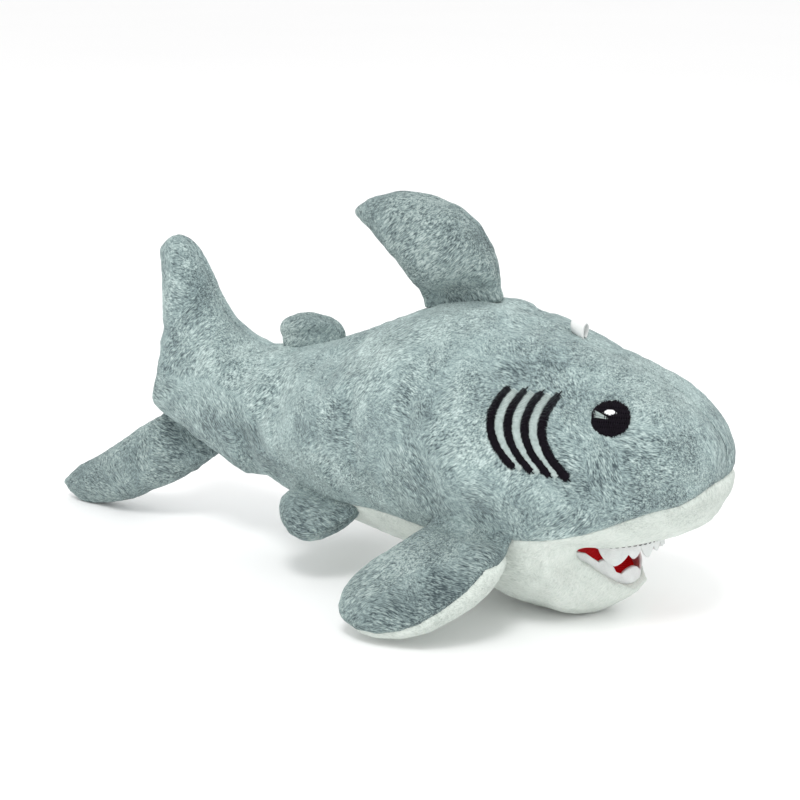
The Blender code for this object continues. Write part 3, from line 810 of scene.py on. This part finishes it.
def fin(body_name, parent, covers, stuffing, material_slots):
    """A padded fin of two panels, sewn on at its root, that bends with its joint."""
    *shape, seam_shift, seam_tilt = FIN_SHAPES[fin_kind(body_name)]
    nodes = [cover[1] for cover in covers] + [stuffing]
    points = cad_points(nodes)
    axis, origin, outward = fin_axes(body_name, points)
    mesh = fin_skin(nodes, points, origin, outward, shape)
    flat = np.cross(axis, outward)
    first, second = (cad_points([node]).mean(axis=0) for _, node in covers)
    if (first - origin) @ flat < (second - origin) @ flat:
        flat = -flat

    def side(p):
        """Height above the seam round the rim, which drops below the root except in front."""
        reach = (p - origin) @ outward
        ahead = p[:, 0] - origin[0]
        outer = seam_shift * MM + seam_tilt * (ahead + SEAM_LEAD * reach)
        front = np.clip(ahead / (SEAM_FRONT * MM), 0, 1)
        share = np.clip((reach + (1 + (SEAM_TAPER - 1) * front) * MM) / (SEAM_TAPER * MM), 0, 1)
        return (p - origin) @ flat - outer * share + seam_shift * MM * (1 - share)

    bm = opened(mesh)
    line = cut_along(bm, "rim", side)
    closed(bm, mesh)
    pile(mesh, (line,))
    on_floor(mesh)
    bm = opened(mesh)
    parts = split_faces(bm, 1 - side_of(bm, "rim"))
    bm.free()
    for k, (name, node) in enumerate(covers):
        material, slot = material_slots[k]
        replaced = [node, stuffing] if k == 0 else [node]
        piece = cloth_piece(name, parts[k], material, slot, replaced)
        start, end = origin - outward * BEND_BEFORE * MM, origin + outward * BEND_AFTER * MM
        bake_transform(piece, parent, body_name, start=tuple(start), end=tuple(end))


def fins():
    # The fins' grey is the darker copy of the pile, painted shade.
    grey = (SHADED_FIN_GREY, "grey_plush")
    white = (WHITE, "white_plush")
    for name in ("dorsal_fin", "second_dorsal_fin", "lower_tail_lobe"):
        covers = [(f"{name}_cover_{word}", f"{name}_{word}") for word in ("right", "left")]
        parent = "tail" if name == "lower_tail_lobe" else "shark_body"
        fin(name, parent, covers, f"{name}_stuffing", (grey, grey))
    for _, word in SIDES:
        for kind, below in (("pectoral_fin", white), ("pelvic_fin", grey)):
            covers = [(f"{kind}_cover_{face}_{word}", f"{kind}_{face}_{word}")
                      for face in ("top", "underside")]
            fin(f"{kind}_{word}", "shark_body", covers, f"{kind}_stuffing_{word}", (grey, below))


# Mouth.

LINING_LIFT, LINING_THICKNESS, FELT_THICKNESS = 0.6, 0.8, 1.1
STRIP_INSET = 3.2        # from the rim of the lower jaw in to its felt strip
ROOF_BACK, ROOF_ROWS = 5.5, 32
FLOOR_HALF_WIDTH, FLOOR_FRONT, FLOOR_BACK, FLOOR_ROWS = 20.0, 22.0, 8.5, 28
BACK_WALL_X, BACK_WALL_ROWS = 13.0, 10


def grid_sheet(name, grid, thickness, towards, material, slot, replaced):
    """A closed thin sheet over a grid of points; the side on the grid faces a point."""
    rows, columns = len(grid), len(grid[0])
    bm = bmesh.new()
    verts = [[bm.verts.new(p) for p in row] for row in grid]
    for i in range(rows - 1):
        for j in range(columns - 1):
            bm.faces.new((verts[i][j], verts[i][j + 1], verts[i + 1][j + 1], verts[i + 1][j]))
    bmesh.ops.recalc_face_normals(bm, faces=bm.faces)
    bm.normal_update()
    bm.faces.ensure_lookup_table()
    middle = bm.faces[len(bm.faces) // 2]
    if middle.normal.dot(Vector(towards) - middle.calc_center_median()) < 0:
        bmesh.ops.reverse_faces(bm, faces=bm.faces)
    piece = thickened(name, closed(bm, bpy.data.meshes.new(name)), thickness)
    finish_piece(piece, material, slot, replaced)
    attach(piece, "shark_body")


def mouth(skin):
    """Red lining on the roof, back wall and floor of the mouth, laid against the skin."""
    centre = Vector((14, 0, 27)) * MM

    def laid(x, y, z, direction, reach):
        """Point just inside the skin that a ray from x, y, z meets."""
        start, direction = Vector((x, y, z)) * MM, Vector(direction)
        hit = skin.ray_cast(start, direction, reach * MM)[0]
        end = hit if hit else start + direction * reach * MM
        ripple = 0.3 * noise.noise(Vector((x, y, z)) / 3.5)
        return end - direction * (LINING_LIFT + ripple) * MM

    rim = np.array(jaw_rim())
    roof, floor = [], []
    for i in range(41):
        across = -1 + i / 20
        bow = math.sqrt(max(0.0, 1 - across * across))
        y = (UPPER_LIP[1] - 2.0) * across
        front = LIP_CENTRE_X + (UPPER_LIP[0] - 2.4) * bow
        roof.append([laid(ROOF_BACK + (front - ROOF_BACK) * j / ROOF_ROWS, y, 27.5, (0, 0, 1), 5.0)
                     for j in range(ROOF_ROWS + 1)])
        y = FLOOR_HALF_WIDTH * across
        front = min(FLOOR_FRONT, float(np.interp(abs(y), rim[::-1, 1] - STRIP_INSET - 1.2, rim[::-1, 0])))
        wall = [laid(min(BACK_WALL_X, front - 0.4), y, 29.5 - 0.9 * j, (-1, 0, 0), 8.5)
                for j in range(BACK_WALL_ROWS)]
        base = [laid(FLOOR_BACK + (front - FLOOR_BACK) * j / FLOOR_ROWS, y, 28.0, (0, 0, -1), 24.0)
                for j in range(FLOOR_ROWS + 1)]
        floor.append(wall + base)
    for name, grid in (("roof", roof), ("floor", floor)):
        grid_sheet(f"mouth_{name}_cover", grid, LINING_THICKNESS, centre, RED, "red_cloth",
                   [f"mouth_{name}_lining"])


def tooth_profile(place, teeth_list, step):
    """Height of a felt strip at a place: the tallest of its rounded teeth, or the plain strip."""
    height = step
    for centre, length, half_width in teeth_list:
        share = abs(place - centre) / half_width
        if share < 1:
            height = max(height, step + (length - step) * (1 - share ** 1.7) ** 0.8)
    return height


# Felt teeth: place along the strip, length in millimetres and half width. The upper places are degrees round
# the lip and the lower ones are millimetres from the front.
UPPER_TEETH = (
    (-59, 8.7, 14.5), (-41.5, 6.8, 7.5), (-26, 7.2, 8), (-12, 5.9, 6.5), (2, 5.6, 6.5),
    (15, 5.8, 6.5), (28, 6.8, 7.5), (43, 6.6, 8), (60, 8.2, 14),
)
LOWER_TEETH = ((-15.0, 6.6, 3.6), (-3.2, 7.5, 5.4), (8.4, 7.0, 5.0), (17.6, 6.4, 4.0))
UPPER_STEP, LOWER_STEP = 3.3, 4.1
UPPER_INSET = 2.2        # from the edge of the upper lip in to its felt strip
STRIP_COLUMNS, STRIP_ROWS = 260, 10
GUM_DASH, GUM_GAP, GUM_DROP, GUM_MARGIN = 5, 3, 2.3, 14


def upper_strip():
    """Line of the upper felt strip: place in degrees, then x, y and z of its sewn edge."""
    path = []
    for phi in np.linspace(-92, 92, STRIP_COLUMNS + 1):
        angle = math.radians(phi)
        x = LIP_CENTRE_X + (UPPER_LIP[0] - UPPER_INSET) * math.cos(angle)
        y = (UPPER_LIP[1] - UPPER_INSET) * math.sin(angle)
        path.append((phi, x, y, upper_lip_height(x) + 1.8))
    return path


def lower_strip():
    """Line of the lower felt strip inside the rolled lip: place in millimetres, then x, y and z."""
    right = [(x, -(half - STRIP_INSET), z - 1.6) for x, half, z in jaw_rim() if x > 8.5]
    line = np.array(right + [(x, -y, z) for x, y, z in reversed(right)])
    lengths = np.concatenate([[0], np.cumsum(np.linalg.norm(np.diff(line, axis=0), axis=1))])
    places = np.linspace(0, lengths[-1], STRIP_COLUMNS + 1)
    line = np.stack([np.interp(places, lengths, line[:, axis]) for axis in range(3)], axis=1)
    kernel = np.ones(25) / 25
    padded = np.pad(line, ((12, 12), (0, 0)), mode="edge")
    line = np.stack([np.convolve(padded[:, axis], kernel, "valid") for axis in range(3)], axis=1)
    return [(place - lengths[-1] / 2, *point) for place, point in zip(places, line)]


def teeth(name, path, teeth_list, step, upward, splay, replaced):
    """A felt strip sewn along a lip, cut into rounded teeth."""
    strip = []
    last = len(path) - 1
    for k, (place, x, y, z) in enumerate(path):
        before, after = path[max(k - 1, 0)], path[min(k + 1, last)]
        along = Vector((after[1] - before[1], after[2] - before[2], 0)).normalized()
        outward = Vector((along.y, -along.x, 0))
        ends = min(1.0, 0.25 + 7.0 * min(k, last - k) / last)
        size = tooth_profile(place, teeth_list, step) * ends
        row = []
        for m in range(STRIP_ROWS + 1):
            drop = size * m / STRIP_ROWS
            curl = 0.4 * noise.noise(Vector((x, y, 9 * m / STRIP_ROWS)) / 5)
            point = Vector((x, y, z + upward * drop)) + outward * (splay * drop + curl)
            row.append(point * MM)
        strip.append(row)
    centre = Vector((LIP_CENTRE_X + 60, 0, 26)) * MM
    grid_sheet(name, strip, FELT_THICKNESS, centre, FELT, "white_felt", [replaced])


def gum_line(path):
    """Dark dashes of thread along the crease under the lip, above the upper felt strip: partly the stitches
    that sew the strip, partly painted shade in the crease.
    """
    bm = bmesh.new()
    for first in range(GUM_MARGIN, len(path) - GUM_MARGIN - 2, GUM_DASH + GUM_GAP):
        points, normals = [], []
        for k in range(first, first + GUM_DASH + 1):
            _, x, y, z = path[k]
            outward = Vector((x - LIP_CENTRE_X, y * 2, 0)).normalized()
            rise = 0.2 * math.sin(math.pi * (k - first) / GUM_DASH)
            points.append((Vector((x, y, z - GUM_DROP)) + outward * (0.1 + rise)) * MM)
            normals.append(outward)
        add_thread(bm, points, normals, 0.15)
    # Black thread dashes: partly stitches, partly painted shade in the crease under the lip.
    embroidery("gum_line_stitching_and_painted_shade", bm, BLACK, "black_thread", ())


def mouth_teeth():
    upper = upper_strip()
    teeth("upper_felt_teeth", upper, UPPER_TEETH, UPPER_STEP, -1, 0.06, "upper_teeth")
    gum_line(upper)
    teeth("lower_felt_teeth", lower_strip(), LOWER_TEETH, LOWER_STEP, 1, 0.05, "lower_teeth")


# Embroidery and loop.

EYE_SHIFT = (-1.2, 0, -0.8)
EYE_PITCH, EYE_DOME, OVAL_PITCH = 0.36, 0.45, 0.3
HIGHLIGHT = (-0.3, 1.75, 2.3, 0.85)     # its middle, forwards and up, and its half width and half height
GLINT_THREADS = 9
# Gill slits: the first bar's place, the step to the next, and the bars' middle and half height. Then how far
# the ends of a bar bow forward, lean and fan out, and how each bar drops and stretches more than the last.
GILL_FIRST_X, GILL_PITCH, GILL_Z, GILL_HALF_HEIGHT = -13.2, 5.9, 72.4, 12.0
GILL_BULGE, GILL_LEAN, GILL_FAN = 5.9, 3.6, 0.055
GILL_DROP, GILL_SLOPE, GILL_STRETCH = 0.5, 0.035, 0.05
LOOP_HALF_WIDTH, LOOP_REACH, LOOP_RISE, LOOP_THICKNESS = 2.5, 2.1, 2.6, 0.5


class Patch:
    """A smooth stretch of the flank that embroidery lies on."""

    def __init__(self, skin, side, centre, half_width, half_height):
        self.side = side
        self.centre = Vector(centre)
        hits = []
        for u in np.linspace(-1, 1, 13):
            for v in np.linspace(-1, 1, 13):
                x = self.centre.x + u * half_width * MM
                z = self.centre.z + v * half_height * MM
                hit = skin.ray_cast(Vector((x, side * 0.09, z)), Vector((0, -side, 0)))[0]
                if hit:
                    hits.append(hit)
        hits = np.array(hits)
        self.fit = np.linalg.lstsq(self.terms(hits[:, 0], hits[:, 2]), hits[:, 1], rcond=None)[0]

    def terms(self, x, z):
        u, v = (np.asarray(x) - self.centre.x) / 0.01, (np.asarray(z) - self.centre.z) / 0.01
        return np.stack([u ** 0, u, v, u * u, u * v, v * v, u ** 3, u * u * v, u * v * v, v ** 3], axis=-1)

    def at(self, x, z, lift=0.0):
        """Point and outward direction at x and z in metres, lifted off the flank by some millimetres."""
        step = 0.0005
        points = [Vector((a, float(self.terms(a, c) @ self.fit), c))
                  for a, c in ((x, z), (x + step, z), (x, z + step))]
        normal = (points[1] - points[0]).cross(points[2] - points[0]).normalized()
        if normal.y * self.side < 0:
            normal.negate()
        return points[0] + normal * lift * MM, normal


def add_thread(bm, points, normals, radius, sides=6):
    """A closed thread along some points, pulled thin at both ends."""
    rings = []
    last = len(points) - 1
    for i, (point, normal) in enumerate(zip(points, normals)):
        along = (points[min(i + 1, last)] - points[max(i - 1, 0)]).normalized()
        across = along.cross(normal).normalized()
        size = radius * MM * (0.55 if i in (0, last) else 1.0)
        rings.append([bm.verts.new(point + (across * math.cos(a) + normal * math.sin(a)) * size)
                      for a in (2 * math.pi * k / sides for k in range(sides))])
    for lower, upper in zip(rings, rings[1:]):
        for k in range(sides):
            bm.faces.new((lower[k], lower[(k + 1) % sides], upper[(k + 1) % sides], upper[k]))
    bm.faces.new(rings[0][::-1])
    bm.faces.new(rings[-1])


def add_stitch(bm, patch, start, end, radius, lift, arch):
    """A stitch from start to end, given as x and z in metres, arched over the cloth."""
    points, normals = [], []
    for k in range(6):
        t = k / 5
        x = start[0] + (end[0] - start[0]) * t
        z = start[1] + (end[1] - start[1]) * t
        point, normal = patch.at(x, z, lift + arch * math.sin(math.pi * t) - (0.5 if k in (0, 5) else 0.0))
        points.append(point)
        normals.append(normal)
    add_thread(bm, points, normals, radius)


def embroidery(name, bm, material, slot, replaced):
    bmesh.ops.recalc_face_normals(bm, faces=bm.faces)
    piece = loose_object(name, closed(bm, bpy.data.meshes.new(name)))
    finish_piece(piece, material, slot, replaced)
    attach(piece, "shark_body")


def satin(name, patch, line, width, pitch, lift, arch, material, slot, replaced, seed, tails=False):
    """Satin stitches side by side across a line of x and z points in metres."""
    draw = random.Random(seed)
    bm = bmesh.new()
    line = np.array(line)
    lengths = np.concatenate([[0], np.cumsum(np.linalg.norm(np.diff(line, axis=0), axis=1))])
    count = int(lengths[-1] / (pitch * MM))

    def on_line(length):
        return np.array([np.interp(length, lengths, line[:, axis]) for axis in (0, 1)])

    for k in range(count + 1):
        at = lengths[-1] * k / count
        centre = on_line(at)
        along = on_line(min(at + 0.0004, lengths[-1])) - on_line(max(at - 0.0004, 0))
        along /= np.linalg.norm(along)
        across = np.array([along[1], -along[0]])
        edge = min(1.0, 0.8 + 3.0 * min(k, count - k) / count)
        half = width * MM / 2 * edge
        skew = along * 0.1 * MM
        first = centre - across * (half + draw.uniform(-0.2, 0.25) * MM) - skew
        second = centre + across * (half + draw.uniform(-0.2, 0.25) * MM) + skew
        add_stitch(bm, patch, first, second, pitch * 0.56, lift + draw.uniform(-0.04, 0.04), arch)
    if tails:
        for end, before in ((line[0], line[3]), (line[-1], line[-4])):
            away = (end - before) / np.linalg.norm(end - before) * MM
            add_stitch(bm, patch, end - away * 0.6, end + away * draw.uniform(0.8, 1.7), 0.2, 0.1, 0.1)
    embroidery(name, bm, material, slot, replaced)


def gill_arc(x, shorten=0.0):
    """Points of x and z in metres down the bar that starts at x, or down a fill between two bars."""
    points = []
    for s in np.linspace(-1 + shorten, 1 - shorten, 40):
        lean = GILL_LEAN * s + GILL_FAN * (x - GILL_FIRST_X) * (s - 1)
        drop = GILL_DROP + GILL_SLOPE * (x - GILL_FIRST_X)
        stretch = GILL_STRETCH * (x - GILL_FIRST_X) * (s + 1)
        z = GILL_Z - drop - (GILL_HALF_HEIGHT - drop) * s - stretch
        points.append(((x + GILL_BULGE * s * s + lean) * MM, z * MM))
    return points


def gills(skin):
    for side, word in SIDES:
        middle_x = GILL_FIRST_X + 1.5 * GILL_PITCH + GILL_BULGE / 2
        patch = Patch(skin, side, (middle_x * MM, 0, GILL_Z * MM), 15, 15)

        for k in range(3):
            line = gill_arc(GILL_FIRST_X + GILL_PITCH * (k + 0.5), 0.03)
            satin(f"gill_fill_stitching_{word}_{k + 1}", patch, line, 3.5, 0.42, 0.15, 0.25, PALE,
                  "grey_thread", [f"gill_fill_{word}_{k + 1}"], 10 + k)
        for k in range(4):
            line = gill_arc(GILL_FIRST_X + GILL_PITCH * k)
            satin(f"gill_slit_stitching_{word}_{k + 1}", patch, line, 2.9, 0.36, 0.45, 0.45, BLACK,
                  "black_thread", [f"gill_slit_{word}_{k + 1}"], 20 + k, True)


def eye_spots(patch, centre, side):
    """A function that turns millimetres forwards and up from the eye's centre into x and z."""
    middle, normal = patch.at(centre.x, centre.z)
    across = Vector((0, 0, 1)).cross(normal).normalized() * -side
    upward = normal.cross(across).normalized()
    upward = upward if upward.z > 0 else -upward

    def spot(u, v):
        point = middle + (across * u + upward * v) * MM
        return point.x, point.z

    return spot


def eye_disc(bm, patch, spot, draw):
    """Upright rows of stitches, broken like brickwork, that fill the round of the eye."""
    for k in range(int(2 * EYE_RADIUS / EYE_PITCH) + 1):
        u = -EYE_RADIUS + EYE_PITCH * k
        half = math.sqrt(max(0.0, EYE_RADIUS ** 2 - u * u)) + draw.uniform(-0.3, 0.3)
        if half < 0.6:
            continue
        shift = 1.7 if k % 2 else 0.0
        breaks = (-5.1 + 3.4 * m + shift for m in range(4))
        cuts = [-half] + [c for c in breaks if -half + 0.8 < c < half - 0.8] + [half]
        for low, high in zip(cuts, cuts[1:]):
            lift = 0.55 + EYE_DOME * (1 - (u * u + (low + high) ** 2 / 4) / EYE_RADIUS ** 2)
            add_stitch(bm, patch, spot(u, low - 0.15), spot(u + 0.04, high + 0.15), 0.23, lift, 0.12)


def eye_highlight(bm, patch, spot, draw):
    """Level rows of stitches that fill the white oval."""
    middle_u, middle_v, half_u, half_v = HIGHLIGHT
    for k in range(int(2 * half_v / OVAL_PITCH) + 1):
        v = -half_v + OVAL_PITCH * k
        half = half_u * math.sqrt(max(0.05, 1 - (v / half_v) ** 2)) + draw.uniform(-0.06, 0.06)
        start, end = spot(middle_u - half, middle_v + v), spot(middle_u + half, middle_v + v)
        add_stitch(bm, patch, start, end, 0.2, 1.15, 0.2)


def eye_glint(bm, patch, spot, draw):
    """Fine threads that fan out backwards from under the highlight."""
    for k in range(GLINT_THREADS):
        t = k / (GLINT_THREADS - 1)
        tip = (-0.4 + draw.uniform(-0.5, 0.5), -0.1 - 0.5 * t + draw.uniform(-0.2, 0.2))
        tail = (-5.7 + draw.uniform(-0.2, 0.3), 2.6 - 2.6 * t)
        add_stitch(bm, patch, spot(*tail), spot(*tip), 0.075, 1.0 + 0.1 * draw.random(), 0.15)


def eyes(skin):
    for side, word in SIDES:
        centre = Vector(middle_box(f"eye_{word}")) + Vector(EYE_SHIFT) * MM
        patch = Patch(skin, side, centre, 8.5, 8.5)
        spot = eye_spots(patch, centre, side)
        draw = random.Random(5)
        for part, fill, material, slot in (
            ("eye", eye_disc, BLACK, "black_thread"),
            ("eye_highlight", eye_highlight, BRIGHT, "white_thread"),
            ("eye_glint", eye_glint, PALE, "grey_thread"),
        ):
            bm = bmesh.new()
            fill(bm, patch, spot, draw)
            embroidery(f"{part}_stitching_{word}", bm, material, slot, [f"{part}_{word}"])


def hang_loop(skin):
    """White tape folded over the seam along the back, with its width along the seam."""
    centre = middle_box("hang_loop")

    def back_at(x):
        return skin.ray_cast(Vector((x, 0, 0.2)), Vector((0, 0, -1)))[0]

    base = back_at(centre.x)
    along = (back_at(centre.x + 2 * MM) - back_at(centre.x - 2 * MM)).normalized()
    grid = []
    for i in range(37):
        turn = math.radians(-64 + 308 * i / 36)
        row = []
        for w in np.linspace(-LOOP_HALF_WIDTH, LOOP_HALF_WIDTH, 9):
            spread = 1 + 0.07 * w
            y = LOOP_REACH * math.cos(turn) * spread + 0.25 * math.sin(turn) * w
            z = LOOP_RISE * (0.92 + math.sin(turn)) * (1 + 0.03 * w)
            crease = 0.25 * noise.noise(Vector((y, z, w)) / 2.5)
            row.append(base + along * w * MM + Vector((0, y + crease, z)) * MM)
        grid.append(row)
    above = base + Vector((0, 0, 0.05))
    grid_sheet("hang_loop_tape", grid, LOOP_THICKNESS, above, TAPE, "white_tape", ["hang_loop"])


# Stage, camera and lights.

def camera():
    azimuth, elevation = math.radians(CAMERA_AZIMUTH), math.radians(CAMERA_ELEVATION)
    back = Vector((math.sin(azimuth) * math.cos(elevation), -math.cos(azimuth) * math.cos(elevation),
                   math.sin(elevation)))
    data = bpy.data.cameras.new("camera")
    data.lens = CAMERA_LENS
    data.clip_start = 0.01
    holder = loose_object("camera", data)
    holder.location = (Vector(CAMERA_TARGET) + back * CAMERA_DISTANCE) * MM
    holder.rotation_euler = (-back).to_track_quat("-Z", "Y").to_euler()
    bpy.context.scene.camera = holder


def area_light(name, place, size, power, colour=(1, 1, 1)):
    data = bpy.data.lights.new(name, "AREA")
    data.shape = "DISK"
    data.size = size
    data.energy = power
    data.color = colour
    lamp = loose_object(name, data)
    lamp.location = place
    lamp.rotation_euler = (-Vector(place)).to_track_quat("-Z", "Y").to_euler()


def stage():
    bm = bmesh.new()
    bmesh.ops.create_grid(bm, x_segments=8, y_segments=8, size=9.0)
    floor = loose_object("floor", closed(bm, bpy.data.meshes.new("floor")))
    shader = Shader("pale_floor", 0.9, 0.0, 0.1)
    shader.colours(shader.noise(shader.place, 900.0).outputs["Fac"],
                   ((0.3, (0.965, 0.965, 0.965)), (0.7, (0.98, 0.98, 0.98))))
    floor.data.materials.append(shader.material)
    world = bpy.data.worlds.new("studio")
    world.use_nodes = True
    world.node_tree.nodes["Background"].inputs[0].default_value = (1.0, 1.0, 1.0, 1)
    world.node_tree.nodes["Background"].inputs[1].default_value = 1.0
    bpy.context.scene.world = world
    bpy.context.scene.view_settings.view_transform = "Standard"
    area_light("key", (0.15, -0.65, 1.30), 0.45, 7.0)
    area_light("rim", (0.3, 0.9, 0.9), 0.6, 2.5)


camera()
stage()
skin = body()
fins()
mouth(skin)
mouth_teeth()
gills(skin)
eyes(skin)
hang_loop(skin)
